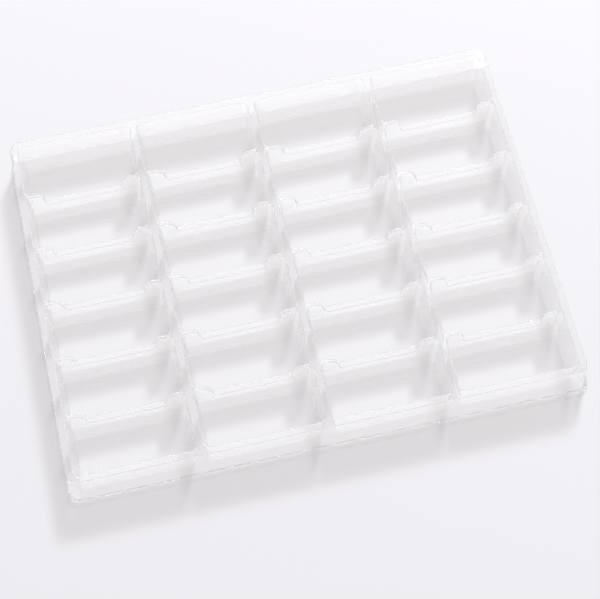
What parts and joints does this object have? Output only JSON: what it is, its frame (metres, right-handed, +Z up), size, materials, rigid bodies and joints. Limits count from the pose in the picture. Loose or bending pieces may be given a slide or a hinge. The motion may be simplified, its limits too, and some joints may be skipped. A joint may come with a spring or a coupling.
{
  "type": "thermoformed plastic tray",
  "caption": "Clear vacuum-formed insert tray with a grid of open-topped rectangular pockets, hollow ribs, flat rim and notched foot band.",
  "frame": {"origin": "middle of the tray at the level of the surface it stands on", "axes": "+X along the long side, +Y along the short side, +Z up through the open mouths of the pockets"},
  "size_m": [0.2804, 0.2124, 0.0228],
  "materials": {
    "clear_sheet": "clear glossy thermoformed polyester sheet"
  },
  "bodies": {
    "root": {"tray": "clear_sheet"}
  },
  "joints": []
}
